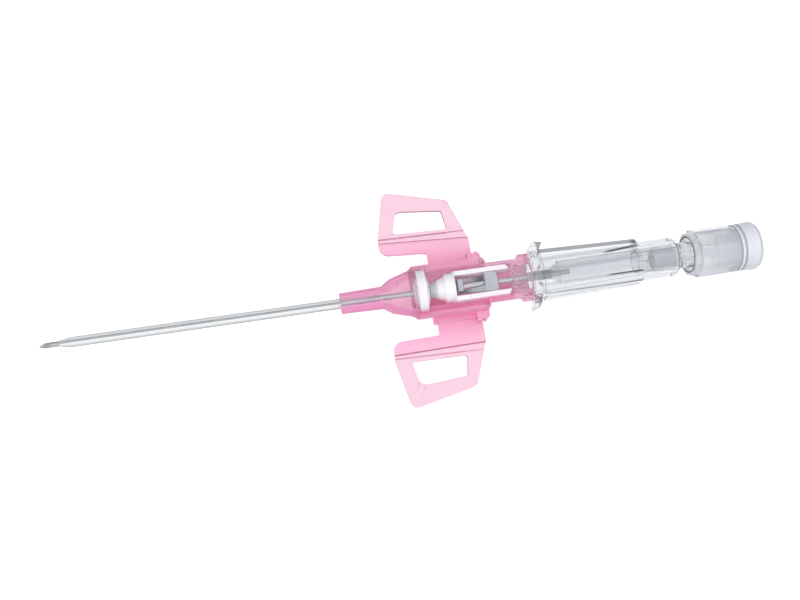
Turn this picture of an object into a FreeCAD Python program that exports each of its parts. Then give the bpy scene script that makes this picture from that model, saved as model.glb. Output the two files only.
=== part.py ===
"""Closed winged intravenous cannula, in millimetres.

The frame is +Z up, with its origin on the flat underside of the hub's platform, below the middle of
that platform. The needle's axis is parallel to X, its point towards -X. Every sub-part is drawn about
that axis with x = 0 at the hub's open mouth, and its Placement lifts it to the axis's height.
"""

import FreeCAD, Part
import math
import os
import re
import Sketcher

V = FreeCAD.Vector
FULL_TURN = 360
CORNER_REACH = 0.5

SIZES = {
    # height of the needle's axis over the platform's underside
    "axis_height": 4.6,
    # rear hub: a wide body in front, the barrel with its two lugs behind
    "barrel_length": 6.96,
    "barrel_radius": 3.28,
    "barrel_bore": 2.8,
    "barrel_step": 0.35,
    "body_length": 11.66,
    "body_radius": 4.35,
    "body_bore": 3.0,
    # female luer taper at the mouth, six per cent on the diameter
    "luer_radius": 2.15,
    "luer_slope": 0.03,
    "lug_radius": 3.9,
    "lug_length": 1.39,
    "lug_ramp": 0.5,
    "lug_angle": 54,
    # saddle under the hub, flat below, with a stepped top and a notched block at each side
    "saddle_length": 9.0,
    "saddle_back": 0.2,
    "foot_half": 4.5,
    "foot_rise": 0.9,
    "saddle_half": 4.95,
    "saddle_top": 2.35,
    "saddle_ledge": 0.6,
    "step_rise": 0.55,
    "block_length": 2.1,
    "block_half": 5.75,
    "block_top": 0.7,
    "block_bevel": 0.55,
    "block_notch": 0.35,
    "block_notch_back": 1.1,
    # front hub, a nose that widens in two flares
    "nose_length": 6.72,
    "nose_tip_radius": 1.7,
    "nose_radius": 1.85,
    "flare_a_length": 1.46,
    "flare_a_radius": 2.82,
    "flare_b_length": 3.08,
    "flare_b_radius": 3.73,
    "shoulder_length": 0.72,
    "rim_length": 0.1,
    "hub_wall": 0.75,
    "spigot_length": 0.4,
    "spigot_wall": 0.55,
    "seat_clear": 0.03,
    "stay_length": 1.0,
    "stay_width": 0.4,
    "stay_depth": 0.45,
    # soft disc between the two halves of the hub
    "septum_thickness": 1.38,
    "septum_radius": 3.52,
    "septum_crown": 0.5,
    "septum_front_crown": 0.3,
    "septum_crown_radius": 1.6,
    "slit_clear": 0.03,
    # catheter tube, tapered at its tip onto the needle
    "tube_exposed": 44.64,
    "tube_radius": 0.82,
    "tube_wall": 0.25,
    "tip_length": 2.06,
    "tip_wall": 0.14,
    "lip_length": 0.75,
    "lip_clear": 0.02,
    "tube_grip": 6.3,
    # needle: bevelled and pointed in front, with a bulge that the clip stops
    "needle_radius": 0.45,
    "needle_wall": 0.15,
    "tip_reach": 3.78,
    "bevel_length": 2.36,
    "bevel_foot": 0.01,
    "lancet_length": 1.3,
    "bulge_back": 5.4,
    "bulge_length": 0.7,
    "bulge_height": 0.05,
    "needle_tail": 3.1,
    # valve opener: hollow cone, ring and two arms
    "opener_gap": 0.15,
    "opener_tip_radius": 1.1,
    "opener_wall": 0.45,
    "cone_length": 2.37,
    "cone_radius": 2.0,
    "ring_length": 1.6,
    "ring_radius": 2.4,
    "arm_length": 8.94,
    "arm_half_height": 1.1,
    "arm_clear": 0.18,
    "arm_notch": 0.25,
    "arm_notch_back": 2.1,
    # tip shield of folded sheet steel between those arms
    "clip_gap": 0.11,
    "clip_clear": 0.1,
    "clip_width": 3.12,
    "clip_height": 2.3,
    "clip_length": 6.78,
    "sheet": 0.18,
    "plate_length": 1.96,
    "leg_gap": 1.1,
    "front_length": 1.0,
    "front_half": 0.95,
    "lip_reach": 0.08,
    "lip_curl": 0.5,
    "clip_bow": 0.05,
    "plate_clear": 0.025,
    # needle hub: luer nose, push-off flange, flash chamber with grip, socket
    "arm_gap": 0.3,
    "nose_relief": 0.1,
    "nose_clear": 0.04,
    "nose_wall": 0.5,
    "nose_cavity": 2.0,
    "flange_gap": 0.1,
    "flange_thickness": 1.25,
    "flange_disc": 4.1,
    "ear_reach": 5.6,
    "ear_slope": 0.4,
    "ear_tip": 1.3,
    "ear_lean_rear": 1.4,
    "ear_lean_front": 0.5,
    "ear_height": 4.0,
    "ear_cut": 1.1,
    "neck_length": 0.62,
    "neck_radius": 2.9,
    "chamber_length": 21.82,
    "chamber_radius": 3.2,
    "chamber_wall": 1.3,
    "chamber_cone": 1.1,
    "grip_length": 15.75,
    "grip_front_half": 4.0,
    "grip_rear_half": 3.5,
    "grip_thickness": 4.5,
    "grip_edge": 0.85,
    "rim_width": 0.35,
    # bond that holds the needle in its hub
    "bond_radius": 0.75,
    "bond_front": 0.4,
    "bond_length": 3.85,
    # flash plug: male cone with a crown, octagonal collar, filter and vent cap
    "plug_depth": 6.4,
    "plug_clear": 0.04,
    "plug_wall": 0.3,
    "crown_length": 2.5,
    "crown_slot": 0.8,
    "neck_gap": 2.32,
    "recess_radius": 2.65,
    "recess_depth": 1.6,
    "collar_face_radius": 3.4,
    "collar_chamfer": 0.9,
    "collar_radius": 4.03,
    "octagon_turn": 45,
    "collar_length": 6.34,
    "collar_draft": 1.0,
    "cavity_radius": 2.6,
    "cavity_length": 3.0,
    "vent_radius": 0.8,
    "filter_gap": 0.2,
    "filter_length": 3.6,
    "filter_clear": 0.03,
    "ring_gap_length": 0.2,
    "ring_gap_radius": 3.6,
    "cap_spigot_radius": 3.05,
    "cap_spigot_length": 1.9,
    "cap_gap": 0.05,
    "cap_ring_length": 0.55,
    "cap_ring_radius": 3.8,
    "cap_groove_length": 0.2,
    "cap_groove_radius": 3.68,
    "cap_flare_radius": 3.97,
    "cap_flare_length": 2.2,
    "cap_rim_radius": 3.62,
    "cap_length": 3.5,
    "cap_wall": 0.55,
    "cap_recess": 1.2,
    # wings: a root on the hub, a thin fold and a paddle with a window
    "wing_thickness": 0.6,
    "wing_drop": 3.87,
    "wing_angle": 5.75,
    "root_front": 15.63,
    "root_rear": 8.35,
    "root_inner": 7.0,
    "root_inner_front": 7.3,
    "fold_front": 23.45,
    "fold_rear": 8.3,
    "fold_front_half": 9.3,
    "fold_rear_half": 8.85,
    "fold_width": 0.8,
    "fold_rear_width": 1.4,
    "fold_thickness": 0.25,
    "fold_clear": 0.02,
    "paddle_front": 21.7,
    "paddle_front_half": 18.25,
    "paddle_rear": 10.95,
    "paddle_rear_half": 15.83,
    "paddle_heel": 8.87,
    "window_rim": 0.65,
    "window_front_rim": 2.57,
    "window_front_lean": 0.95,
    "window_front_depth": 3.9,
    "window_rear_rim": 3.38,
    "window_rear_lean": 0.53,
    "window_rear_depth": 3.3,
    "corner_large": 1.6,
    "corner_outer": 1.3,
    "corner_small": 0.45,
    "corner_window": 1.2,
}

PLACES = {
    "body_rear": "-barrel_length",
    "joint_x": "body_rear - body_length",
    "septum_front": "joint_x + spigot_length",
    "septum_rear": "septum_front + septum_thickness",
    "shoulder_x": "joint_x - rim_length",
    "flare_b_end": "shoulder_x - shoulder_length",
    "flare_a_end": "flare_b_end - flare_b_length",
    "nose_end": "flare_a_end - flare_a_length",
    "nose_front": "nose_end - nose_length",
    "tube_tip": "nose_front - tube_exposed",
    "tube_rear": "nose_front + tube_grip",
    "tube_bore": "tube_radius - tube_wall",
    "needle_tip": "tube_tip - tip_reach",
    "bulge_x": "needle_tip + bulge_back",
    "bulge_radius": "needle_radius + bulge_height",
    "tip_bore": "needle_radius + lip_clear",
    "seat_radius": "septum_radius + seat_clear",
    "opener_tip": "septum_rear + septum_crown + opener_gap",
    "cone_end": "opener_tip + cone_length",
    "ring_rear": "cone_end + ring_length",
    "arm_end": "ring_rear + arm_length",
    "arm_radius": "barrel_bore - arm_clear",
    "arm_inner": "clip_width / 2 + clip_clear",
    "clip_front": "ring_rear + clip_gap",
    "clip_rear": "clip_front + clip_length",
    "plate_front": "clip_rear - plate_length",
    "lip_rear": "clip_front + front_length",
    "luer_front": "arm_end + arm_gap",
    "plug_nose_x": "luer_front + nose_relief",
    "flange_rear": "flange_gap + flange_thickness",
    "neck_end": "flange_rear + neck_length",
    "grip_end": "neck_end + grip_length",
    "socket_end": "neck_end + chamber_length",
    "chamber_bore": "chamber_radius - chamber_wall",
    "bond_rear": "bond_length - bond_front",
    "needle_rear": "bond_rear + needle_tail",
    "cone_front": "socket_end - plug_depth",
    "crown_end": "cone_front + crown_length",
    "collar_face": "socket_end + neck_gap",
    "recess_end": "collar_face + recess_depth",
    "octagon_front": "collar_face + collar_chamfer",
    "octagon_rear": "octagon_front + collar_length",
    "cavity_front": "octagon_rear - cavity_length",
    "filter_front": "crown_end + filter_gap",
    "cap_front": "octagon_rear + ring_gap_length + cap_gap",
    "cap_seat": "octagon_rear + cap_spigot_length + cap_gap",
    "cap_groove_front": "cap_front + cap_ring_length",
    "cap_flare_front": "cap_groove_front + cap_groove_length",
    "cap_rear": "cap_front + cap_length",
    "saddle_front": "body_rear - saddle_back - saddle_length",
    "step_half": "saddle_half - saddle_ledge",
    "platform_middle": "saddle_front + saddle_length / 2",
    "paddle_front_inner": "fold_front_half + fold_width",
    "paddle_rear_inner": "fold_rear_half + fold_rear_width",
    "window_inner": "paddle_front_inner + window_rim",
    "window_front": "fold_front - window_front_rim",
    "window_front_tip": "window_front - window_front_lean",
    "window_front_outer": "window_inner + window_front_depth",
    "window_rear": "fold_rear + window_rear_rim",
    "window_rear_tip": "window_rear + window_rear_lean",
    "window_rear_outer": "window_inner + window_rear_depth",
}


WORD = re.compile(r"[a-z][a-z_]+")
FUNCTIONS = ("sin", "cos", "tan", "sqrt")
LEFT, RIGHT = "", "-"

doc = FreeCAD.newDocument("iv_cannula")
sheet = doc.addObject("Spreadsheet::Sheet", "sizes")


def fill_sheet():
    """Write each driving size, and each place worked out from them, with its alias."""
    rows = [(name, str(value)) for name, value in SIZES.items()]
    rows += [(name, "=" + formula) for name, formula in PLACES.items()]
    for row, (name, content) in enumerate(rows, start=1):
        sheet.set(f"A{row}", name)
        sheet.set(f"B{row}", content)
        sheet.setAlias(f"B{row}", name)
    doc.recompute()


def cell(text):
    """An expression in which each size's name reads its cell of the sheet."""
    return WORD.sub(lambda found: found[0] if found[0] in FUNCTIONS else "sizes." + found[0], text)


def new_body(label):
    """An empty sub-part, drawn about the needle's axis and placed over the platform."""
    body = doc.addObject("PartDesign::Body", label)
    body.Label = label
    body.setExpression("Placement.Base.x", cell("-platform_middle"))
    body.setExpression("Placement.Base.z", cell("axis_height"))
    return body


def new_sketch(body, name, role, offset="0"):
    """A sketch on one of the body's own origin planes, offset along that plane's normal."""
    sketch = body.newObject("Sketcher::SketchObject", name)
    plane = next(item for item in body.Origin.OriginFeatures if item.Role == role)
    sketch.AttachmentSupport = [(plane, "")]
    sketch.MapMode = "FlatFace"
    sketch.setExpression("AttachmentOffset.Base.z", cell(offset))
    return sketch


def wing_sketch(body, name, drop="wing_drop"):
    """A sketch in the plane of the wings, which falls towards the rear."""
    sketch = new_sketch(body, name, "XY_Plane", "-" + drop)
    sketch.AttachmentOffset = FreeCAD.Placement(V(0, 0, 0), FreeCAD.Rotation(V(0, 1, 0), 1))
    sketch.setExpression("AttachmentOffset.Rotation.Angle", cell("wing_angle"))
    return sketch


def place(sketch, kind, item, value, text):
    """Hold one coordinate of a corner or centre to an expression."""
    position = 3 if isinstance(sketch.Geometry[item], Part.Circle) else 1
    made = sketch.addConstraint(Sketcher.Constraint(kind, -1, 1, item, position, value))
    sketch.setExpression(f"Constraints[{made}]", cell(text))


def outline(sketch, corners):
    """A closed outline through corners, each a pair of expressions."""
    count = len(corners)
    first = sketch.GeometryCount
    turns = [2 * math.pi * index / count for index in range(count)]
    start = [V(math.cos(turn), math.sin(turn), 0) for turn in turns]
    for index in range(count):
        sketch.addGeometry(Part.LineSegment(start[index], start[(index + 1) % count]), False)
    for index in range(count):
        follower = first + (index + 1) % count
        sketch.addConstraint(Sketcher.Constraint("Coincident", first + index, 2, follower, 1))
    for index, (across, up) in enumerate(corners):
        place(sketch, "DistanceX", first + index, start[index].x, across)
        place(sketch, "DistanceY", first + index, start[index].y, up)
    return sketch


def circle(sketch, across, up, radius):
    """A circle at a pair of expressions."""
    item = sketch.addGeometry(Part.Circle(V(1, 1, 0), V(0, 0, 1), 1), False)
    place(sketch, "DistanceX", item, 1, across)
    place(sketch, "DistanceY", item, 1, up)
    made = sketch.addConstraint(Sketcher.Constraint("Radius", item, 1))
    sketch.setExpression(f"Constraints[{made}]", cell(radius))
    return sketch


def volume(body):
    """The volume of the sub-part as it stands."""
    return body.Tip.Shape.Volume if body.Tip else 0


def settle(body, feature, before, cuts):
    """Make the feature the tip, and stop if it added or took away nothing."""
    body.Tip = feature
    doc.recompute()
    grown = feature.Shape.Volume - before
    if not (grown < 0 if cuts else grown > 0):
        raise RuntimeError(f"{feature.Name} of {body.Label} changes the volume by {grown:.4f}")
    return feature


def turned(body, name, corners, cuts=False):
    """Revolve an outline of (x, radius) pairs about the needle's axis, or cut it out."""
    before = volume(body)
    sketch = outline(new_sketch(body, name + "_profile", "XY_Plane"), corners)
    feature = body.newObject("PartDesign::Groove" if cuts else "PartDesign::Revolution", name)
    feature.Profile = sketch
    feature.ReferenceAxis = (sketch, ["H_Axis"])
    feature.Angle = FULL_TURN
    return settle(body, feature, before, cuts)


def padded(body, name, sketch, length, cuts=False, both=False, reverse=False):
    """Pad a sketch by a length, to one side or to both, or cut it out."""
    before = volume(body)
    feature = body.newObject("PartDesign::Pocket" if cuts else "PartDesign::Pad", name)
    feature.Profile = sketch
    feature.setExpression("Length", cell(length))
    feature.SideType = "Symmetric" if both else "One side"
    feature.Reversed = reverse
    return settle(body, feature, before, cuts)


def around(body, name, originals, count):
    """Repeat features about the needle's axis."""
    before = volume(body)
    axis = next(item for item in body.Origin.OriginFeatures if item.Role == "X_Axis")
    cuts = originals[0].TypeId in ("PartDesign::Pocket", "PartDesign::Groove")
    pattern = body.newObject("PartDesign::PolarPattern", name)
    pattern.Originals = originals
    pattern.Axis = (axis, [""])
    pattern.Angle = FULL_TURN
    pattern.Occurrences = count
    return settle(body, pattern, before, cuts)


def rounded(body, name, size, chosen, kind="Fillet"):
    """Fillet or chamfer the edges of the body's tip that chosen says."""
    base = body.Tip
    edges = [f"Edge{number}" for number, edge in enumerate(base.Shape.Edges, start=1) if chosen(edge)]
    feature = body.newObject("PartDesign::" + kind, name)
    feature.Base = (base, edges)
    feature.setExpression("Radius" if kind == "Fillet" else "Size", cell(size))
    body.Tip = feature
    doc.recompute()
    return feature


def along(edge, axis):
    """Whether an edge runs mostly along X, Y or Z."""
    box = edge.BoundBox
    spans = {"X": box.XLength, "Y": box.YLength, "Z": box.ZLength}
    return spans[axis] == max(spans.values())


def value(text):
    """What a size or a place worked out from the sizes measures now."""
    return float(getattr(sheet, text))


def wing_corner(across, half, side):
    """Chooses the upright edge of a wing that stands at one corner of its plan."""
    corner = V(-value(across), -value(half) if side else value(half), 0)

    def chosen(edge):
        middle = edge.CenterOfMass
        near = V(middle.x, middle.y, 0).distanceToPoint(corner) < CORNER_REACH
        return near and along(edge, "Z")
    return chosen


def make_rear_hub():
    """Body, barrel and lugs, with the saddle, its blocks and the roots of both wings."""
    body = new_body("hub_body")
    turned(body, "shell", [
        ("joint_x", "0"),
        ("joint_x", "body_radius"),
        ("body_rear - barrel_step", "body_radius"),
        ("body_rear", "body_radius - barrel_step"),
        ("body_rear", "barrel_radius"),
        ("0", "barrel_radius"),
        ("0", "0"),
    ])
    for side, name in ((LEFT, "lug_left"), (RIGHT, "lug_right")):
        make_lug(body, name, side)
    make_saddle(body)
    for side, name in ((LEFT, "root_left"), (RIGHT, "root_right")):
        make_root(body, name, side)
    turned(body, "cavity", [
        ("joint_x", "0"),
        ("joint_x", "seat_radius"),
        ("septum_rear", "seat_radius"),
        ("septum_rear", "body_bore"),
        ("body_rear - barrel_step", "body_bore"),
        ("body_rear", "barrel_bore"),
        ("luer_front", "barrel_bore"),
        ("luer_front", "luer_radius + luer_slope * luer_front"),
        ("0", "luer_radius"),
        ("0", "0"),
    ], cuts=True)
    return body


def make_lug(body, name, side):
    """One luer-lock lug, an arc about the mouth with a sloped front."""
    before = volume(body)
    sketch = outline(new_sketch(body, name + "_profile", "XY_Plane"), [
        ("-lug_length - lug_ramp", side + "(barrel_radius - barrel_step)"),
        ("-lug_length - lug_ramp", side + "barrel_radius"),
        ("-lug_length", side + "lug_radius"),
        ("0", side + "lug_radius"),
        ("0", side + "(barrel_radius - barrel_step)"),
    ])
    lug = body.newObject("PartDesign::Revolution", name)
    lug.Profile = sketch
    lug.ReferenceAxis = (sketch, ["H_Axis"])
    lug.Midplane = True
    lug.setExpression("Angle", cell("lug_angle"))
    return settle(body, lug, before, cuts=False)


def make_saddle(body):
    """The stepped saddle under the hub with its flat foot, and the notched blocks beside it."""
    half = [
        ("foot_half", "-axis_height"),
        ("saddle_half", "foot_rise - axis_height"),
        ("saddle_half", "-saddle_top"),
        ("step_half", "-saddle_top"),
        ("step_half", "step_rise - saddle_top"),
    ]
    mirrored = [("-" + across, up) for across, up in reversed(half)]
    section = outline(new_sketch(body, "saddle_section", "YZ_Plane", "saddle_front"), half + mirrored)
    padded(body, "saddle", section, "saddle_length")
    rear = "body_rear - saddle_back"
    front = rear + " - block_length"
    notch = rear + " - block_notch_back"
    edge = [
        (front, "block_half"),
        (notch + " - block_notch", "block_half"),
        (notch, "block_half - block_notch"),
        (notch + " + block_notch", "block_half"),
        (rear + " - block_bevel", "block_half"),
        (rear, "block_half - block_bevel"),
    ]
    mirrored = [(along_x, f"-({across})") for along_x, across in reversed(edge)]
    blocks = outline(new_sketch(body, "block_plan", "XY_Plane", "-saddle_top - step_rise"), edge + mirrored)
    padded(body, "blocks", blocks, "saddle_top + step_rise - block_top")


def make_root(body, name, side):
    """The stiff root of a wing, from the hub's side out to the fold."""
    plan = outline(wing_sketch(body, name + "_plan"), [
        ("-root_front", "0"),
        ("-root_front", side + "root_inner"),
        ("-fold_front", side + "root_inner_front"),
        ("-fold_front", side + "fold_front_half"),
        ("-fold_rear", side + "fold_rear_half"),
        ("-root_rear", side + "step_half"),
        ("-root_rear", "0"),
    ])
    padded(body, name, plan, "wing_thickness", both=True)
    corners = [
        ("fold_front", "root_inner_front", "corner_large"),
        ("root_front", "root_inner", "corner_small"),
    ]
    for across, half, radius in corners:
        rounded(body, name + "_" + across, radius, wing_corner(across, half, side))


def make_front_hub():
    """The nose, widening in two flares to the rim that closes over the rear hub's seat."""
    body = new_body("hub_nose")
    turned(body, "shell", [
        ("nose_front", "0"),
        ("nose_front", "nose_tip_radius"),
        ("nose_end", "nose_radius"),
        ("flare_a_end", "flare_a_radius"),
        ("flare_b_end", "flare_b_radius"),
        ("shoulder_x", "body_radius"),
        ("joint_x", "body_radius"),
        ("joint_x", "septum_radius"),
        ("septum_front", "septum_radius"),
        ("septum_front", "0"),
    ])
    turned(body, "cavity", [
        ("nose_front", "0"),
        ("nose_front", "tube_radius + seat_clear"),
        ("tube_rear", "tube_radius + seat_clear"),
        ("flare_b_end", "flare_b_radius - hub_wall"),
        ("septum_front", "septum_radius - spigot_wall"),
        ("septum_front", "0"),
    ], cuts=True)
    stay = outline(new_sketch(body, "stay_plan", "XZ_Plane"), [
        ("septum_front - stay_length", "flare_b_radius - hub_wall - stay_depth"),
        ("septum_front", "septum_radius - spigot_wall - stay_depth"),
        ("septum_front", "septum_radius - spigot_wall / 2"),
        ("septum_front - stay_length", "flare_b_radius - hub_wall / 2"),
    ])
    first = padded(body, "stay", stay, "stay_width", both=True)
    around(body, "stays", [first], 4)
    return body


def make_septum():
    """The soft disc that the needle passes through, crowned on both faces."""
    body = new_body("septum")
    slit = "needle_radius + bulge_height + slit_clear"
    turned(body, "disc", [
        ("septum_front", "septum_radius"),
        ("septum_rear", "septum_radius"),
        ("septum_rear", "body_bore - seat_clear"),
        ("septum_rear + septum_crown", "septum_crown_radius"),
        ("septum_rear + septum_crown", slit),
        ("septum_front - septum_front_crown", slit),
        ("septum_front - septum_front_crown", "septum_crown_radius"),
        ("septum_front", "septum_radius - spigot_wall - stay_depth"),
    ])
    return body


def make_tube():
    """The catheter tube, thinned towards its tip, with a lip that grips the needle."""
    body = new_body("catheter_tube")
    turned(body, "wall", [
        ("tube_tip", "tip_bore"),
        ("tube_tip", "tip_bore + tip_wall"),
        ("tube_tip + tip_length", "tube_radius"),
        ("tube_rear", "tube_radius"),
        ("tube_rear", "tube_bore"),
        ("tube_tip + tip_length", "tube_bore"),
        ("tube_tip + lip_length", "tip_bore"),
    ])
    return body


def make_needle():
    """The steel needle: a tube cut to a bevel and a lancet point, with the bulge behind it."""
    body = new_body("needle")
    half = "bulge_length / 2"
    turned(body, "shaft", [
        ("needle_tip", "0"),
        ("needle_tip", "needle_radius"),
        ("bulge_x - " + half, "needle_radius"),
        ("bulge_x", "bulge_radius"),
        ("bulge_x + " + half, "needle_radius"),
        ("needle_rear", "needle_radius"),
        ("needle_rear", "0"),
    ])
    turned(body, "lumen", [
        ("needle_tip", "0"),
        ("needle_tip", "needle_radius - needle_wall"),
        ("needle_rear", "needle_radius - needle_wall"),
        ("needle_rear", "0"),
    ], cuts=True)
    bevel = outline(new_sketch(body, "bevel_profile", "XZ_Plane"), [
        ("needle_tip", "bevel_foot - needle_radius"),
        ("needle_tip + bevel_length", "needle_radius"),
        ("needle_tip + bevel_length", "needle_radius * 2"),
        ("needle_tip - needle_radius", "needle_radius * 2"),
        ("needle_tip - needle_radius", "bevel_foot - needle_radius"),
    ])
    padded(body, "bevel", bevel, "body_radius", cuts=True, both=True)
    for side, name in ((LEFT, "left"), (RIGHT, "right")):
        facet = outline(new_sketch(body, "facet_" + name, "XY_Plane"), [
            ("needle_tip", side + "0"),
            ("needle_tip + lancet_length", side + "needle_radius"),
            ("needle_tip + lancet_length", side + "needle_radius * 2"),
            ("needle_tip - needle_radius", side + "needle_radius * 2"),
            ("needle_tip - needle_radius", side + "0"),
        ])
        padded(body, "lancet_" + name, facet, "body_radius", cuts=True, both=True)
    return body


def make_bond():
    """The bond around the needle where its hub holds it."""
    body = new_body("needle_bond")
    turned(body, "sleeve", [
        ("-bond_front", "needle_radius"),
        ("-bond_front", "bond_radius"),
        ("bond_rear", "bond_radius"),
        ("bond_rear", "needle_radius"),
    ])
    return body


def make_opener():
    """The valve opener: a hollow cone and ring, and the two arms that a syringe's nose pushes."""
    body = new_body("valve_opener")
    turned(body, "cone", [
        ("opener_tip", "opener_tip_radius - opener_wall"),
        ("opener_tip", "opener_tip_radius"),
        ("cone_end", "cone_radius"),
        ("cone_end", "ring_radius"),
        ("ring_rear", "ring_radius"),
        ("ring_rear", "ring_radius - opener_wall"),
        ("cone_end", "ring_radius - opener_wall"),
        ("cone_end", "cone_radius - opener_wall"),
    ])
    turned(body, "arm_stock", [
        ("ring_rear - opener_wall", "arm_inner"),
        ("ring_rear - opener_wall", "ring_radius"),
        ("ring_rear", "arm_radius"),
        ("arm_end - opener_wall", "arm_radius"),
        ("arm_end", "arm_radius - opener_wall"),
        ("arm_end", "arm_inner"),
    ])
    for side, name in ((LEFT, "above"), (RIGHT, "below")):
        waste = outline(new_sketch(body, "waste_" + name, "YZ_Plane", "ring_rear"), [
            ("-arm_radius * 2", side + "arm_half_height"),
            ("arm_radius * 2", side + "arm_half_height"),
            ("arm_radius * 2", side + "arm_radius * 2"),
            ("-arm_radius * 2", side + "arm_radius * 2"),
        ])
        padded(body, "gap_" + name, waste, "arm_length", cuts=True, reverse=True)
    passage = outline(new_sketch(body, "passage_section", "YZ_Plane", "ring_rear"), [
        ("-arm_inner", "-arm_radius"),
        ("arm_inner", "-arm_radius"),
        ("arm_inner", "arm_radius"),
        ("-arm_inner", "arm_radius"),
    ])
    padded(body, "passage", passage, "arm_length", cuts=True, reverse=True)
    notch_x = "ring_rear + arm_notch_back"
    for side, name in ((LEFT, "left"), (RIGHT, "right")):
        notch = outline(new_sketch(body, "notch_" + name, "XZ_Plane"), [
            (notch_x, "arm_half_height - arm_notch"),
            (notch_x + " + arm_notch", "arm_half_height"),
            (notch_x + " + arm_notch", "arm_radius"),
            (notch_x, "arm_radius"),
        ])
        padded(body, "tick_" + name, notch, "arm_radius * 2", cuts=True, reverse=bool(side))
    return body


def make_clip():
    """The tip shield, one folded strip whose two arms cross beside the needle."""
    body = new_body("safety_clip")
    high = "clip_height / 2"
    wall = outline(new_sketch(body, "wall_profile", "XZ_Plane"), [
        ("clip_rear - sheet", "-" + high),
        ("clip_rear", "-" + high),
        ("clip_rear", high),
        ("clip_rear - sheet", high),
    ])
    padded(body, "rear_wall", wall, "clip_width", both=True)
    plate = outline(new_sketch(body, "plate_profile", "XZ_Plane"), [
        ("plate_front", high + " - sheet"),
        ("clip_rear - sheet / 2", high + " - sheet"),
        ("clip_rear - sheet / 2", high),
        ("plate_front", high),
    ])
    top = padded(body, "plate", plate, "clip_width", both=True)
    leg = outline(new_sketch(body, "leg_profile", "XZ_Plane", "leg_gap / 2"), [
        ("plate_front + sheet", high + " - sheet"),
        ("plate_front + sheet", high),
        ("plate_front", high),
        ("lip_rear", "sheet - " + high + " + clip_bow + sheet"),
        ("lip_rear - sheet", "-" + high + " + clip_bow + sheet"),
        ("lip_rear", "-" + high + " + clip_bow"),
        ("plate_front", high + " - sheet"),
    ])
    side_leg = padded(body, "leg", leg, "(clip_width - leg_gap) / 2")
    lip = outline(new_sketch(body, "lip_profile", "XZ_Plane"), [
        ("lip_rear + sheet", "clip_bow - " + high),
        ("lip_rear + sheet", "clip_bow + sheet - " + high),
        ("clip_front + lip_curl", "sheet - " + high),
        ("clip_front + sheet", "lip_curl - " + high),
        ("clip_front + sheet", "-needle_radius - lip_reach"),
        ("clip_front", "-needle_radius - lip_reach"),
        ("clip_front", "lip_curl - sheet / 2 - " + high),
        ("clip_front + lip_curl - sheet / 2", "-" + high),
    ])
    front = padded(body, "lip", lip, "clip_width", both=True)
    around(body, "second_arm", [top, side_leg, front], 2)
    for side, name in ((LEFT, "left"), (RIGHT, "right")):
        taper = outline(new_sketch(body, "taper_" + name, "XY_Plane"), [
            ("clip_front - sheet", side + "front_half"),
            ("lip_rear", side + "front_half"),
            ("plate_front", side + "clip_width / 2"),
            ("plate_front", side + "clip_width"),
            ("clip_front - sheet", side + "clip_width"),
        ])
        padded(body, "cut_" + name, taper, "clip_height * 2", cuts=True, both=True)
    hole = circle(new_sketch(body, "hole_plan", "YZ_Plane", "clip_rear"), "0", "0",
                  "needle_radius + plate_clear")
    padded(body, "hole", hole, "sheet * 2", cuts=True)
    return body


def make_needle_hub():
    """The clear needle hub: luer nose, push-off flange, flash chamber with its grip, and socket."""
    body = new_body("needle_hub")
    grip = outline(new_sketch(body, "grip_plan", "XY_Plane"), [
        ("neck_end", "-grip_front_half"),
        ("grip_end", "-grip_rear_half"),
        ("grip_end", "grip_rear_half"),
        ("neck_end", "grip_front_half"),
    ])
    padded(body, "grip", grip, "grip_thickness", both=True)
    rounded(body, "grip_edges", "grip_edge", lambda edge: along(edge, "X"), "Chamfer")
    nose_tip = "luer_radius - nose_clear + luer_slope * plug_nose_x"
    turned(body, "shell", [
        ("plug_nose_x", "0"),
        ("plug_nose_x", nose_tip),
        ("0", "luer_radius - nose_clear"),
        ("flange_gap", "luer_radius - nose_clear"),
        ("flange_gap", "neck_radius"),
        ("neck_end", "neck_radius"),
        ("neck_end", "chamber_radius"),
        ("socket_end - rim_width", "chamber_radius"),
        ("socket_end", "chamber_radius - rim_width / 2"),
        ("socket_end", "0"),
    ])
    disc = circle(new_sketch(body, "disc_plan", "YZ_Plane", "flange_gap"), "0", "0", "flange_disc")
    padded(body, "flange", disc, "flange_thickness")
    for side, name, lean in ((LEFT, "left", " + ear_lean_rear"), (RIGHT, "right", " - ear_lean_front")):
        ear = outline(new_sketch(body, "ear_plan_" + name, "XY_Plane"), [
            ("flange_gap", side + "neck_radius"),
            ("flange_gap", side + "flange_disc"),
            ("flange_gap" + lean, side + "ear_reach"),
            ("flange_gap" + lean + " + ear_tip", side + "(ear_reach - ear_slope)"),
            ("flange_rear", side + "neck_radius"),
        ])
        padded(body, "ear_" + name, ear, "ear_height", both=True)
        for up, level in ((LEFT, "above"), (RIGHT, "below")):
            plane = new_sketch(body, "ear_waste_" + name + level, "YZ_Plane", "flange_gap - ear_lean_front")
            waste = outline(plane, [
                (side + "(ear_reach - ear_cut * 2)", up + "(ear_height / 2 + ear_cut)"),
                (side + "(ear_reach + ear_cut)", up + "(ear_height / 2 - ear_cut * 2)"),
                (side + "(ear_reach + ear_cut)", up + "(ear_height / 2 + ear_cut)"),
            ])
            padded(body, "ear_cut_" + name + level, waste, "ear_lean_front + ear_lean_rear + ear_tip",
                   cuts=True, reverse=True)
    turned(body, "bore", [
        ("plug_nose_x", "0"),
        ("plug_nose_x", nose_tip + " - nose_wall"),
        ("plug_nose_x + nose_cavity", "bond_radius + seat_clear"),
        ("bond_rear", "bond_radius + seat_clear"),
        ("bond_rear + chamber_cone", "chamber_bore"),
        ("cone_front - plug_clear", "chamber_bore"),
        ("cone_front - plug_clear", "luer_radius - luer_slope * plug_depth"),
        ("socket_end", "luer_radius"),
        ("socket_end", "0"),
    ], cuts=True)
    return body


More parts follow.
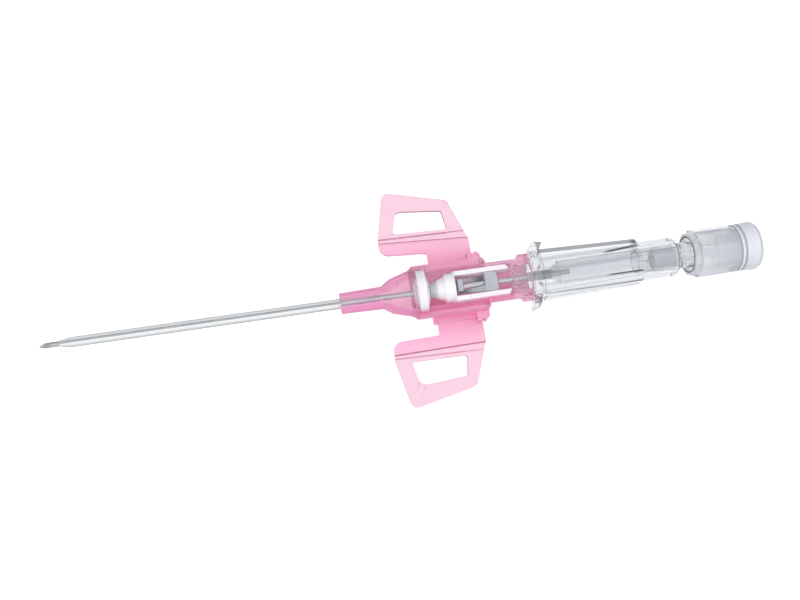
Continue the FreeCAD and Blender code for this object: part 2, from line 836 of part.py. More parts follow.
def make_plug():
    """The flash plug: a crowned male cone, its neck, and an octagonal collar open in front."""
    body = new_body("plug_body")
    cone_tip = "luer_radius - plug_clear - luer_slope * plug_depth"
    cone_root = "luer_radius - plug_clear + luer_slope * (recess_end - socket_end)"
    turned(body, "cone", [
        ("cone_front", "0"),
        ("cone_front", cone_tip),
        ("crown_end", cone_tip),
        ("recess_end", cone_root),
        ("recess_end", "recess_radius"),
        ("collar_face", "recess_radius"),
        ("collar_face", "collar_face_radius"),
        ("octagon_front + collar_chamfer", "collar_radius * cos(octagon_turn / 2)"),
        ("octagon_front + collar_chamfer", "0"),
    ])
    corner = "collar_radius * sin(octagon_turn)"
    section = outline(new_sketch(body, "collar_section", "YZ_Plane", "octagon_front"), [
        ("collar_radius", "0"),
        (corner, corner),
        ("0", "collar_radius"),
        ("-" + corner, corner),
        ("-collar_radius", "0"),
        ("-" + corner, "-" + corner),
        ("0", "-collar_radius"),
        (corner, "-" + corner),
    ])
    collar = padded(body, "collar", section, "collar_length")
    collar.setExpression("TaperAngle", cell("-collar_draft"))
    doc.recompute()
    turned(body, "spigot", [
        ("octagon_rear - sheet", "0"),
        ("octagon_rear - sheet", "ring_gap_radius"),
        ("octagon_rear + ring_gap_length", "ring_gap_radius"),
        ("octagon_rear + ring_gap_length", "cap_spigot_radius"),
        ("octagon_rear + cap_spigot_length", "cap_spigot_radius"),
        ("octagon_rear + cap_spigot_length", "0"),
    ])
    turned(body, "recess", [
        ("collar_face - sheet", cone_root),
        ("collar_face - sheet", "recess_radius"),
        ("recess_end", "recess_radius"),
        ("recess_end", cone_root),
    ], cuts=True)
    bore = cone_tip + " - plug_wall"
    turned(body, "bore", [
        ("cone_front", "0"),
        ("cone_front", bore),
        ("filter_front + filter_length + filter_gap", bore),
        ("filter_front + filter_length + filter_gap", "vent_radius"),
        ("cavity_front", "vent_radius"),
        ("cavity_front", "cavity_radius"),
        ("octagon_rear + cap_spigot_length", "cavity_radius"),
        ("octagon_rear + cap_spigot_length", "0"),
    ], cuts=True)
    slot = outline(new_sketch(body, "slot_plan", "XY_Plane"), [
        ("cone_front - crown_slot", "-crown_slot / 2"),
        ("crown_end", "-crown_slot / 2"),
        ("crown_end", "crown_slot / 2"),
        ("cone_front - crown_slot", "crown_slot / 2"),
    ])
    first = padded(body, "slot", slot, "luer_radius", cuts=True, reverse=True)
    around(body, "crown", [first], 4)
    return body


def make_filter():
    """The porous filter inside the plug's cone."""
    body = new_body("vent_filter")
    radius = "luer_radius - plug_clear - luer_slope * plug_depth - plug_wall - filter_clear"
    turned(body, "plug", [
        ("filter_front", "0"),
        ("filter_front", radius),
        ("filter_front + filter_length", radius),
        ("filter_front + filter_length", "0"),
    ])
    return body


def make_cap():
    """The flared vent cap on the plug's rear spigot, open behind, with a vent in its web."""
    body = new_body("vent_cap")
    turned(body, "cup", [
        ("cap_front", "cap_spigot_radius + seat_clear"),
        ("cap_front", "cap_ring_radius"),
        ("cap_groove_front", "cap_ring_radius"),
        ("cap_groove_front", "cap_groove_radius"),
        ("cap_flare_front", "cap_groove_radius"),
        ("cap_flare_front", "cap_ring_radius"),
        ("cap_flare_front + cap_flare_length", "cap_flare_radius"),
        ("cap_rear", "cap_rim_radius"),
        ("cap_rear", "cap_rim_radius - cap_wall"),
        ("cap_rear - cap_recess", "cap_rim_radius - cap_wall"),
        ("cap_rear - cap_recess", "vent_radius"),
        ("cap_seat", "vent_radius"),
        ("cap_seat", "cap_spigot_radius + seat_clear"),
    ])
    return body


def make_wing(label, side):
    """A wing's paddle beyond the fold, with a window in it."""
    body = new_body(label)
    plan = outline(wing_sketch(body, "paddle_plan"), [
        ("-fold_front", side + "paddle_front_inner"),
        ("-paddle_front", side + "paddle_front_half"),
        ("-paddle_rear", side + "paddle_rear_half"),
        ("-paddle_heel", side + "paddle_rear_inner"),
    ])
    padded(body, "paddle", plan, "wing_thickness", both=True)
    window = outline(wing_sketch(body, "window_plan"), [
        ("-window_front", side + "window_inner"),
        ("-window_front_tip", side + "window_front_outer"),
        ("-window_rear_tip", side + "window_rear_outer"),
        ("-window_rear", side + "window_inner"),
    ])
    padded(body, "window", window, "body_radius", cuts=True, both=True)
    corners = [
        ("paddle_front", "paddle_front_half", "corner_outer"),
        ("paddle_rear", "paddle_rear_half", "corner_outer"),
        ("window_front", "window_inner", "corner_small"),
        ("window_front_tip", "window_front_outer", "corner_window"),
        ("window_rear_tip", "window_rear_outer", "corner_small"),
        ("window_rear", "window_inner", "corner_small"),
    ]
    for across, half, radius in corners:
        rounded(body, "round_" + across, radius, wing_corner(across, half, side))
    return body


def make_fold(label, side):
    """The thin fold between a wing's root and its paddle."""
    body = new_body(label)
    plan = outline(wing_sketch(body, "strip_plan"), [
        ("-fold_front", side + "(fold_front_half + fold_clear)"),
        ("-fold_front", side + "(paddle_front_inner - fold_clear)"),
        ("-paddle_heel", side + "(paddle_rear_inner - fold_clear)"),
        ("-fold_rear", side + "(fold_rear_half + fold_clear)"),
    ])
    padded(body, "strip", plan, "fold_thickness", both=True)
    return body


def write_parts(bodies):
    """Check that every object worked, then write each sub-part's solid."""
    doc.recompute()
    for item in doc.Objects:
        if "Invalid" in item.State or "Error" in item.State:
            raise RuntimeError(f"{item.Label} failed: {item.State}")
    os.makedirs("parts", exist_ok=True)
    for body in bodies:
        shape = body.Shape
        if shape.isNull() or not shape.isValid() or len(shape.Solids) != 1:
            raise RuntimeError(f"{body.Label} is not one valid solid")
        shape.exportStep(f"parts/{body.Label}.step")
        box = shape.BoundBox
        print(f"{body.Label}: {shape.Volume:.2f} mm3, x {box.XMin:.2f} to {box.XMax:.2f}")


fill_sheet()
write_parts([
    make_rear_hub(),
    make_front_hub(),
    make_septum(),
    make_tube(),
    make_opener(),
    make_clip(),
    make_needle(),
    make_bond(),
    make_needle_hub(),
    make_plug(),
    make_filter(),
    make_cap(),
    make_wing("wing_left", LEFT),
    make_wing("wing_right", RIGHT),
    make_fold("wing_fold_left", LEFT),
    make_fold("wing_fold_right", RIGHT),
])
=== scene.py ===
import math

import bpy
from mathutils import Matrix, Vector


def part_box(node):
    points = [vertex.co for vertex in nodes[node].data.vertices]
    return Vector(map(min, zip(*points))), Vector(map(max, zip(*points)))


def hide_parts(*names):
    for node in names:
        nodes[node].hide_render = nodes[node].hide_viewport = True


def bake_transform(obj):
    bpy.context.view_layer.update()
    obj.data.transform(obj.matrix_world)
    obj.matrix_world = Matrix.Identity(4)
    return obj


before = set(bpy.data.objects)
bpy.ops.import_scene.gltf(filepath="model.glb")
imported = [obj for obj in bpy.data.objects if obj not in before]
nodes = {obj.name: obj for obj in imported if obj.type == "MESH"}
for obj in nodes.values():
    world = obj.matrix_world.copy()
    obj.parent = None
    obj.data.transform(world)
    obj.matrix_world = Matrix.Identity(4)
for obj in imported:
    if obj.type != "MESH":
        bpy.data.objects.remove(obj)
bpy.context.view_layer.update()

MM = 0.001
AXIS_Z = 4.6 * MM
MOUTH_X = 11.66 * MM
NOSE_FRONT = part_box("hub_nose")[0][0]
GRIP_FRONT, GRIP_REAR = MOUTH_X + 1.8 * MM, MOUTH_X + 17.5 * MM
WEDGE_SLOPE = 0.082
PLUG_FACE, PLUG_RECESS = 8.72 * MM, 1.6 * MM
CLEAR_SHARE = 0.97
RELIEF = 0.02 * MM


# Camera
AZIMUTH, ELEVATION = math.radians(-8.309), math.radians(77.0)
FOCAL_PX, DISTANCE = 773.82, 125.03 * MM
LOOK_PX = (526.0, 277.47)
WIDTH, HEIGHT = 800, 600


def make_camera():
    """The photograph's viewpoint, fitted on the luer lugs, the wings and the tube."""
    back = Vector((math.sin(AZIMUTH) * math.cos(ELEVATION), -math.cos(AZIMUTH) * math.cos(ELEVATION),
                   math.sin(ELEVATION)))
    right = (-back).cross(Vector((0, 0, 1))).normalized()
    up = back.cross(right)
    across = (LOOK_PX[0] - WIDTH / 2) / FOCAL_PX * DISTANCE
    rise = -(LOOK_PX[1] - HEIGHT / 2) / FOCAL_PX * DISTANCE
    origin = Vector((MOUTH_X - 0.49 * MM, 0, AXIS_Z))
    place = origin - right * across - up * rise + back * DISTANCE
    data = bpy.data.cameras.new("camera")
    data.sensor_width = 36
    data.lens = FOCAL_PX * data.sensor_width / WIDTH
    data.clip_start = 0.001
    camera = bpy.data.objects.new("camera", data)
    turn = Matrix((right, up, back)).transposed().to_4x4()
    camera.matrix_world = Matrix.Translation(place) @ turn
    bpy.context.scene.collection.objects.link(camera)
    bpy.context.scene.camera = camera


# Node helpers
class Nodes:
    """A material's node tree, with short calls for its nodes."""

    def __init__(self, name):
        self.material = bpy.data.materials.new(name)
        self.material.use_nodes = True
        self.tree = self.material.node_tree
        self.tree.nodes.clear()
        self.out = self.tree.nodes.new("ShaderNodeOutputMaterial")

    def add(self, kind, **values):
        node = self.tree.nodes.new("ShaderNode" + kind)
        for key, value in values.items():
            if key.startswith("in_"):
                target = node.inputs[key[3:].replace("_", " ")]
                if isinstance(value, bpy.types.NodeSocket):
                    self.tree.links.new(value, target)
                else:
                    target.default_value = value
            else:
                setattr(node, key, value)
        return node

    def link(self, source, target):
        self.tree.links.new(source, target)


def noise(tree, scale, detail=3.0, coordinates=None, roughness=0.5):
    node = tree.add("TexNoise")
    node.inputs["Scale"].default_value = scale
    node.inputs["Detail"].default_value = detail
    node.inputs["Roughness"].default_value = roughness
    if coordinates is not None:
        tree.link(coordinates, node.inputs["Vector"])
    return node.outputs["Fac"]


def ramp(tree, fac, stops):
    node = tree.add("ValToRGB")
    tree.link(fac, node.inputs["Fac"])
    elements = node.color_ramp.elements
    while len(elements) < len(stops):
        elements.new(0.5)
    for element, (position, color) in zip(elements, stops):
        element.position = position
        element.color = (*color, 1.0)
    return node.outputs["Color"]


def mottle(tree, fac, color, spread):
    """A colour that goes a little darker and lighter with a noise."""
    return ramp(tree, fac, [(0.3, shade(color, 1 - spread)), (0.7, shade(color, 1 + spread))])


def vary(tree, fac, number, less, more):
    """A number that goes from less to more times itself with a noise."""
    return ramp(tree, fac, [(0.3, (number * less,) * 3), (0.7, (number * more,) * 3)])


def object_space(tree):
    return tree.add("TexCoord").outputs["Object"]


def bump(tree, height, strength, distance):
    node = tree.add("Bump")
    node.inputs["Strength"].default_value = strength
    node.inputs["Distance"].default_value = distance
    tree.link(height, node.inputs["Height"])
    return node.outputs["Normal"]


def shade(c, k):
    return tuple(min(1.0, v * k) for v in c)


def span(tree, value, low, high):
    """0 at low, 1 at high, smooth between, of a coordinate in metres."""
    node = tree.add("MapRange", interpolation_type="SMOOTHSTEP")
    node.inputs["From Min"].default_value = low
    node.inputs["From Max"].default_value = high
    tree.link(value, node.inputs["Value"])
    return node.outputs["Result"]


def blend_colors(tree, fac, first, second):
    node = tree.add("Mix", data_type="RGBA")
    tree.link(fac, node.inputs["Factor"])
    for socket, color in ((node.inputs[6], first), (node.inputs[7], second)):
        if isinstance(color, tuple):
            socket.default_value = (*color, 1.0)
        else:
            tree.link(color, socket)
    return node.outputs[2]


def coordinate(tree, here, axis):
    node = tree.add("SeparateXYZ")
    tree.link(here, node.inputs[0])
    return node.outputs[axis]


def mix_values(tree, fac, first, second):
    """A number between first, where fac is 0, and second, where it is 1."""
    node = tree.add("Mix", data_type="FLOAT")
    tree.link(fac, node.inputs["Factor"])
    for socket, value in ((node.inputs[2], first), (node.inputs[3], second)):
        if isinstance(value, float):
            socket.default_value = value
        else:
            tree.link(value, socket)
    return node.outputs[0]


def absolute(tree, value):
    node = tree.add("Math", operation="ABSOLUTE")
    tree.link(value, node.inputs[0])
    return node.outputs[0]


def let_light_through(tree, surface, color):
    """Let rays from lamps and from matt surfaces pass, so that what lies inside is lit as outside."""
    path = tree.add("LightPath")
    either = tree.add("Math", operation="MAXIMUM")
    tree.link(path.outputs["Is Shadow Ray"], either.inputs[0])
    tree.link(path.outputs["Is Diffuse Ray"], either.inputs[1])
    passing = tree.add("BsdfTransparent")
    tree.link(color, passing.inputs["Color"])
    choose = tree.add("MixShader")
    tree.link(either.outputs[0], choose.inputs[0])
    tree.link(surface, choose.inputs[1])
    tree.link(passing.outputs[0], choose.inputs[2])
    tree.link(choose.outputs[0], tree.out.inputs["Surface"])


def moulded(name, color, clarity, roughness=0.06, ior=1.2, spread=0.015, wave=700.0, flow=0.04,
            gloss=0.0, tint=None, haze=None):
    """Moulded see-through plastic: a milky share and a clear share, with faint flow marks in its gloss."""
    tree = Nodes(name)
    shader = tree.add("BsdfPrincipled")
    here = object_space(tree)
    cloudy = noise(tree, wave, 2.0, here)
    base = mottle(tree, cloudy, color, spread)
    if tint is not None:
        base = tint(tree, here, base)
    tree.link(base, shader.inputs["Base Color"])
    fine = noise(tree, wave * 3, 2.0, here)
    tree.link(vary(tree, fine, roughness, 0.7, 1.3), shader.inputs["Roughness"])
    tree.link(bump(tree, noise(tree, wave * 0.6, 1.0, here), flow, RELIEF), shader.inputs["Normal"])
    shader.inputs["IOR"].default_value = ior
    shader.inputs["Coat Weight"].default_value = gloss
    shader.inputs["Coat Roughness"].default_value = 0.06
    if haze is None:
        shader.inputs["Transmission Weight"].default_value = clarity
    else:
        tree.link(haze(tree, here, clarity), shader.inputs["Transmission Weight"])
    let_light_through(tree, shader.outputs["BSDF"], base)
    return tree.material


def times(tree, first, second):
    node = tree.add("Math", operation="MULTIPLY")
    tree.link(first, node.inputs[0])
    tree.link(second, node.inputs[1])
    return node.outputs[0]


def level_share(tree, low, high):
    """0 on walls that stand upright at rest and 1 on level ones."""
    upright = absolute(tree, coordinate(tree, tree.add("TexCoord").outputs["Normal"], "Z"))
    return span(tree, upright, low, high)


def above_axis(tree, here):
    """0 below the needle's axis and 1 above it."""
    return span(tree, coordinate(tree, here, "Z"), AXIS_Z - 0.6 * MM, AXIS_Z + 0.7 * MM)


def upper_half(tree, here):
    """1 over the top of the hub and 0 on its side walls and below the needle's axis."""
    return times(tree, above_axis(tree, here), level_share(tree, 0.24, 0.52))


def from_axis(tree, here):
    """The distance from the needle's axis."""
    flat = tree.add("VectorMath", operation="MULTIPLY_ADD")
    tree.link(here, flat.inputs[0])
    flat.inputs[1].default_value = (0, 1, 1)
    flat.inputs[2].default_value = (0, 0, -AXIS_Z)
    reach = tree.add("VectorMath", operation="LENGTH")
    tree.link(flat.outputs[0], reach.inputs[0])
    return reach.outputs["Value"]


def beyond_line(tree, here, distance, front, rear, soft):
    """1 where a distance is above a line through two (x, distance) points, and 0 below it."""
    line = tree.add("MapRange", in_From_Min=front[0], in_From_Max=rear[0],
                    in_To_Min=front[1], in_To_Max=rear[1])
    tree.link(coordinate(tree, here, "X"), line.inputs["Value"])
    beyond = tree.add("Math", operation="SUBTRACT")
    tree.link(distance, beyond.inputs[0])
    tree.link(line.outputs["Result"], beyond.inputs[1])
    return span(tree, beyond.outputs[0], -soft, soft)


def beside_hub(tree, here):
    """0 over the hub and 1 out at its sides, where the wings' roots are."""
    return span(tree, absolute(tree, coordinate(tree, here, "Y")), 4.0 * MM, 4.5 * MM)


def hub_tint(tree, here, base):
    """Deeper pink in the lower half, nearly clear over the top, and paler out along the wings' roots."""
    lugs = span(tree, coordinate(tree, here, "X"), MOUTH_X - 3.2 * MM, MOUTH_X - 2.4 * MM)
    left = span(tree, coordinate(tree, here, "Y"), -1.0 * MM, 2.0 * MM)
    lower = blend_colors(tree, lugs, blend_colors(tree, left, base, PINK_LEFT), PINK_LUG)
    core = blend_colors(tree, upper_half(tree, here), lower, PINK_TOP)
    outward = span(tree, absolute(tree, coordinate(tree, here, "Y")), 5.0 * MM, 9.2 * MM)
    wing = blend_colors(tree, outward, PINK_ROOT, PINK_FOLD)
    return blend_colors(tree, beside_hub(tree, here), core, wing)


def top_haze(tree, here, clarity):
    """Milky in the lower half, clear over the top."""
    return mix_values(tree, upper_half(tree, here), clarity, CLEAR_SHARE)


def hub_haze(tree, here, clarity):
    """Milky in the lower half and in the wings' roots, clear over the top."""
    return mix_values(tree, beside_hub(tree, here), top_haze(tree, here, clarity), clarity)


def nose_outside(tree, here):
    """1 on the nose's outer side and 0 in its bore and cone."""
    return beyond_line(tree, here, from_axis(tree, here), (NOSE_FRONT + 6.7 * MM, 1.3 * MM),
                       (NOSE_FRONT + 11.3 * MM, 3.4 * MM), 0.05 * MM)


def nose_walls(tree, here):
    """1 along both sides of the nose, where its wall is seen edge on, and 0 over its bore and cone."""
    aside = absolute(tree, coordinate(tree, here, "Y"))
    return beyond_line(tree, here, aside, (NOSE_FRONT + 6.3 * MM, 0.9 * MM),
                       (NOSE_FRONT + 11.3 * MM, 3.05 * MM), 0.1 * MM)


def nose_tint(tree, here, base):
    """Deep pink on the side walls, paler below, and nearly clear over the top and inside."""
    walls = nose_walls(tree, here)
    below = blend_colors(tree, walls, base, PINK_WALL)
    over = blend_colors(tree, walls, PINK_TOP, PINK_WALL)
    outer = blend_colors(tree, above_axis(tree, here), below, over)
    return blend_colors(tree, nose_outside(tree, here), PINK_TOP, outer)


def flare_haze(tree, here, clarity):
    """Milky in the lower half and on the side walls, clear over the top and inside."""
    over = mix_values(tree, nose_walls(tree, here), CLEAR_SHARE, clarity)
    outer = mix_values(tree, above_axis(tree, here), clarity, over)
    return mix_values(tree, nose_outside(tree, here), CLEAR_SHARE, outer)


def in_nose(tree, here):
    """0 on the bare tube and 1 inside the nose."""
    return span(tree, coordinate(tree, here, "X"), NOSE_FRONT, NOSE_FRONT + 0.2 * MM)


def tube_tint(tree, here, base):
    """Greyer on the left, lighter on the right as painted light, darkest at both side walls as painted dark
    edge lines, and colourless in the nose.
    """
    # Painted light on the right half and painted dark edge lines on the side walls.
    left = span(tree, coordinate(tree, here, "Y"), -0.3 * MM, 0.3 * MM)
    shaded = blend_colors(tree, left, TUBE_PAINTED_LIGHT, base)
    edged = blend_colors(tree, level_share(tree, 0.3, 0.65), TUBE_PAINTED_EDGE_SHADE, shaded)
    return blend_colors(tree, in_nose(tree, here), edged, CLEAR_NOSE)


def tube_haze(tree, here, clarity):
    """Clear along the top line, where the needle shows, milky beside it, and clear inside the nose."""
    top_line = around(tree, coordinate(tree, here, "Y"), -0.02 * MM, 0.17 * MM)
    exposed = mix_values(tree, top_line, 0.3, clarity)
    return mix_values(tree, in_nose(tree, here), exposed, CLEAR_SHARE)


def around(tree, value, middle, half):
    """1 within half of middle, 0 further than one and a half times that."""
    shifted = tree.add("Math", operation="SUBTRACT", in_Value=value)
    shifted.inputs[1].default_value = middle
    return span(tree, absolute(tree, shifted.outputs[0]), half * 1.5, half)


def behind_mouth(tree, here):
    """0 inside the hub and 1 behind its mouth."""
    return span(tree, coordinate(tree, here, "X"), MOUTH_X - 1.4 * MM, MOUTH_X)


def side_tint(tree, here, base):
    """The grip's painted light and shade: greyer over all but a strip on its right, grey and light lengthwise
    lines standing in for refraction, a painted shade band along its left chamfer with a lighter stripe inside
    it, and painted dark reflections as wedges and a line near its rear; nearly colourless inside the hub.
    """
    along, left = coordinate(tree, here, "X"), coordinate(tree, here, "Y")
    # Painted shade: greyer over all but a strip along the right side.
    bands = blend_colors(tree, span(tree, left, -1.25 * MM, -1.45 * MM), PAINTED_GRIP_SHADE, base)
    # Painted grey lines and a light line along the grip, standing in for the clear plastic's refraction
    # lines.
    for middle, half, color in (
        (0.2 * MM, 0.2 * MM, PAINTED_GRIP_LINE), (-1.7 * MM, 0.18 * MM, CLEAR_NOSE),
        (-2.04 * MM, 0.07 * MM, PAINTED_GRIP_LINE), (1.85 * MM, 0.10 * MM, PAINTED_GRIP_LINE),
    ):
        bands = blend_colors(tree, around(tree, left, middle, half), bands, color)
    # A painted shade band along the left chamfer, which faces away from the lamps, with a lighter stripe just
    # inside it.
    for offset, color in ((-0.3 * MM, CLEAR_NOSE), (0.0, PAINTED_SHADE_BAND)):
        bevel = beyond_line(tree, here, left, (GRIP_FRONT, 3.15 * MM + offset),
                            (GRIP_REAR, 2.65 * MM + offset), 0.05 * MM)
        bands = blend_colors(tree, bevel, bands, color)
    # Painted dark reflections near the grip's rear: a slanting wedge and a line, standing in for internal
    # reflection at its end.
    skew = tree.add("VectorMath", operation="DOT_PRODUCT")
    tree.link(here, skew.inputs[0])
    skew.inputs[1].default_value = (-WEDGE_SLOPE, 1, 0)
    deepen = span(tree, along, MOUTH_X + 11.2 * MM, MOUTH_X + 13.0 * MM)
    wedge = around(tree, skew.outputs["Value"], -0.26 * MM, 0.17 * MM)
    painted_dark_line = around(tree, left, -2.04 * MM, 0.09 * MM)
    for line in (wedge, painted_dark_line):
        bands = blend_colors(tree, times(tree, line, deepen), bands, PAINTED_DARK)
    above = span(tree, coordinate(tree, here, "Z"), AXIS_Z, AXIS_Z + 0.8 * MM)
    grip = times(tree, span(tree, along, GRIP_FRONT - 0.4 * MM, GRIP_FRONT),
                 span(tree, along, GRIP_REAR + 0.5 * MM, GRIP_REAR - 0.1 * MM))
    body = blend_colors(tree, times(tree, above, grip), base, bands)
    return blend_colors(tree, behind_mouth(tree, here), CLEAR_NOSE, body)


def cone_share(tree, here):
    """0 on the plug's collar and 1 on its neck and on the cone inside the socket."""
    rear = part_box("plug_body")[0][0] + PLUG_FACE + PLUG_RECESS
    before = span(tree, coordinate(tree, here, "X"), rear + 0.2 * MM, rear - 0.1 * MM)
    return times(tree, before, span(tree, from_axis(tree, here), 2.75 * MM, 2.66 * MM))


def cone_tint(tree, here, base):
    """Nearly colourless on the neck and the cone, with a dark ring of painted shade about the recess in the
    collar's face.
    """
    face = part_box("plug_body")[0][0] + PLUG_FACE
    # Painted shade in the gap about the recess.
    ring = times(tree, around(tree, coordinate(tree, here, "X"), face, 0.3 * MM),
                 around(tree, from_axis(tree, here), 2.88 * MM, 0.12 * MM))
    ringed = blend_colors(tree, ring, base, PAINTED_DARK)
    return blend_colors(tree, cone_share(tree, here), ringed, CLEAR_NOSE)


def cone_haze(tree, here, clarity):
    """Clear on the neck and the cone, milkier on the collar."""
    return mix_values(tree, cone_share(tree, here), clarity, 0.95)


def nose_haze(tree, here, clarity):
    """Clearer in front of the mouth, inside the hub."""
    return mix_values(tree, behind_mouth(tree, here), CLEAR_SHARE, clarity)


def edge_tint(tree, here, base):
    """Deeper pink on the side walls, where the plastic is seen edge on."""
    return blend_colors(tree, level_share(tree, 0.3, 0.8), PINK_EDGE, base)


def tip_painted_shadow(tree, here, base):
    """Painted shadow at the opener's blunt tip, near the septum: grey there, white behind it."""
    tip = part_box("valve_opener")[0][0]
    behind = span(tree, coordinate(tree, here, "X"), tip + 0.7 * MM, tip + 1.5 * MM)
    return blend_colors(tree, behind, TIP_PAINTED_SHADOW, base)


def solid_plastic(name, color, roughness=0.4, spread=0.03, grain=2500.0, depth=0.2, tint=None):
    """Opaque moulded plastic or soft rubber, with a fine uneven surface."""
    tree = Nodes(name)
    shader = tree.add("BsdfPrincipled")
    here = object_space(tree)
    base = mottle(tree, noise(tree, grain / 4, 3.0, here), color, spread)
    if tint is not None:
        base = tint(tree, here, base)
    tree.link(base, shader.inputs["Base Color"])
    tree.link(vary(tree, noise(tree, grain, 3.0, here), roughness, 0.85, 1.15), shader.inputs["Roughness"])
    tree.link(bump(tree, noise(tree, grain, 4.0, here), depth, RELIEF), shader.inputs["Normal"])
    tree.link(shader.outputs["BSDF"], tree.out.inputs["Surface"])
    return tree.material


def steel(name, color, roughness, stretch):
    """Drawn or rolled steel, with fine lines along X."""
    tree = Nodes(name)
    shader = tree.add("BsdfPrincipled")
    mapping = tree.add("Mapping")
    mapping.inputs["Scale"].default_value = stretch
    tree.link(object_space(tree), mapping.inputs["Vector"])
    lines = noise(tree, 1.0, 4.0, mapping.outputs["Vector"])
    tree.link(mottle(tree, lines, color, 0.1), shader.inputs["Base Color"])
    tree.link(vary(tree, lines, roughness, 0.8, 1.3), shader.inputs["Roughness"])
    tree.link(bump(tree, lines, 0.15, RELIEF / 2), shader.inputs["Normal"])
    shader.inputs["Metallic"].default_value = 1.0
    tree.link(shader.outputs["BSDF"], tree.out.inputs["Surface"])
    return tree.material


def dress(node, material):
    mesh = nodes[node].data
    mesh.materials.clear()
    mesh.materials.append(material)


def soften_edges(node, material, width):
    """Break a moulding's sharp edges with a narrow flat, which takes a material of its own."""
    piece = nodes[node]
    piece.data.materials.append(material)
    weld = piece.modifiers.new("weld", "WELD")
    weld.merge_threshold = 0.0002 * MM
    flat = piece.modifiers.new("edges", "BEVEL")
    flat.width = width
    flat.segments = 1
    flat.limit_method = "ANGLE"
    flat.angle_limit = math.radians(35)
    flat.material = 1
    shading = piece.modifiers.new("shading", "WEIGHTED_NORMAL")
    shading.weight = 100
    shading.thresh = 0.05
    shading.keep_sharp = False


# Materials
PINK = (0.98, 0.36, 0.63)
PINK_WALL = (0.88, 0.36, 0.61)
PINK_TOP = (0.985, 0.98, 0.985)
PINK_NOSE = (0.99, 0.55, 0.74)
PINK_LEFT = (0.99, 0.56, 0.78)
PINK_LUG = (0.97, 0.58, 0.76)
PINK_ROOT = (0.91, 0.49, 0.67)
PINK_FOLD = (0.93, 0.59, 0.75)
PALE_PINK = (0.91, 0.64, 0.755)
PINK_EDGE = (0.66, 0.36, 0.50)
# Painted crease shade for the wing folds: dark, softer and faint.
PINK_CREASE = (0.60, 0.22, 0.36)
PINK_CREASE_SOFT = (0.74, 0.38, 0.53)
PINK_CREASE_FAINT = (0.84, 0.55, 0.69)
# Painted shade, refraction lines and dark reflections for the clear grip, and painted shade for the plug's
# ring.
PAINTED_GRIP_SHADE = (0.78, 0.80, 0.82)
PAINTED_GRIP_LINE = (0.54, 0.56, 0.58)
PAINTED_SHADE_BAND = (0.17, 0.175, 0.18)
PAINTED_DARK = (0.025, 0.03, 0.035)
CLEAR_NOSE = (0.96, 0.95, 0.96)
# Painted light and painted dark edge lines for the catheter tube.
TUBE_PAINTED_LIGHT = (0.93, 0.94, 0.945)
TUBE_PAINTED_EDGE_SHADE = (0.55, 0.57, 0.58)
# Painted shadow for the opener's tip.
TIP_PAINTED_SHADOW = (0.50, 0.53, 0.56)

pink = moulded("pink_clear", PINK, 0.30, roughness=0.10, ior=1.09, gloss=0.25, tint=hub_tint, haze=hub_haze)
pink_nose = moulded("pink_nose_clear", PINK_NOSE, 0.35, roughness=0.10, ior=1.09, gloss=0.25, tint=nose_tint,
                    haze=flare_haze)
pale = moulded("pale_pink_clear", PALE_PINK, 0.08, roughness=0.2, tint=edge_tint)
# Painted crease shade for the fold webs' edge strips.
crease = moulded("pink_crease", PINK_CREASE, 0.10, roughness=0.25)
crease_soft = moulded("pink_crease_soft", PINK_CREASE_SOFT, 0.10, roughness=0.25)
crease_faint = moulded("pink_crease_faint", PINK_CREASE_FAINT, 0.10, roughness=0.25)
# Darker flats for the mouldings' edges: painted dark edge lines.
pale_edge_painted_line = moulded("pale_pink_edge", PINK_EDGE, 0.10, roughness=0.25)
clear_edge_painted_line = moulded("clear_edge_painted_line", (0.42, 0.45, 0.48), 0.45, roughness=0.05)
cap_edge_painted_line = moulded("cap_edge_painted_line", (0.42, 0.44, 0.49), 0.05, roughness=0.25)
clear = moulded("clear", (0.83, 0.85, 0.87), 0.86, roughness=0.05, gloss=0.3, tint=side_tint, haze=nose_haze)
plug_clear = moulded("plug_clear", (0.76, 0.785, 0.815), 0.55, gloss=0.3, tint=cone_tint, haze=cone_haze)
tube = moulded("tube_clear", (0.84, 0.855, 0.865), 0.92, roughness=0.05, ior=1.03, tint=tube_tint,
               haze=tube_haze)
frosted = moulded("frosted", (0.76, 0.78, 0.84), 0.05, roughness=0.25)
white_soft = solid_plastic("white_soft", (0.91, 0.935, 0.945), roughness=0.6)
# The opener's white, with a painted shadow at its tip.
white = solid_plastic("white_satin", (0.92, 0.94, 0.95), roughness=0.35, tint=tip_painted_shadow)
bond = moulded("bond", (0.50, 0.53, 0.55), 0.40, roughness=0.25)
filter_grey = solid_plastic("filter", (0.51, 0.52, 0.55), roughness=0.85, grain=9000.0, depth=0.4,
                            spread=0.08)
needle_steel = steel("needle_steel", (0.50, 0.515, 0.53), 0.62, (200.0, 9000.0, 9000.0))
clip_steel = steel("clip_steel", (0.38, 0.41, 0.45), 0.40, (300.0, 6000.0, 6000.0))

for node, material in {
    "hub_body": pink, "hub_nose": pink_nose, "septum": white_soft, "catheter_tube": tube,
    "valve_opener": white, "safety_clip": clip_steel, "needle": needle_steel, "needle_bond": bond,
    "needle_hub": clear, "plug_body": plug_clear, "vent_filter": filter_grey, "vent_cap": frosted,
    "wing_left": pale, "wing_right": pale, "wing_fold_left": pale, "wing_fold_right": pale,
}.items():
    dress(node, material)

# The edge flats take painted dark edge lines.
for node, material, width in (
    ("wing_left", pale_edge_painted_line, 0.10), ("wing_right", pale_edge_painted_line, 0.10), ("needle_hub", clear_edge_painted_line, 0.05),
    ("plug_body", clear_edge_painted_line, 0.05), ("vent_cap", cap_edge_painted_line, 0.08),
):
    soften_edges(node, material, width * MM)


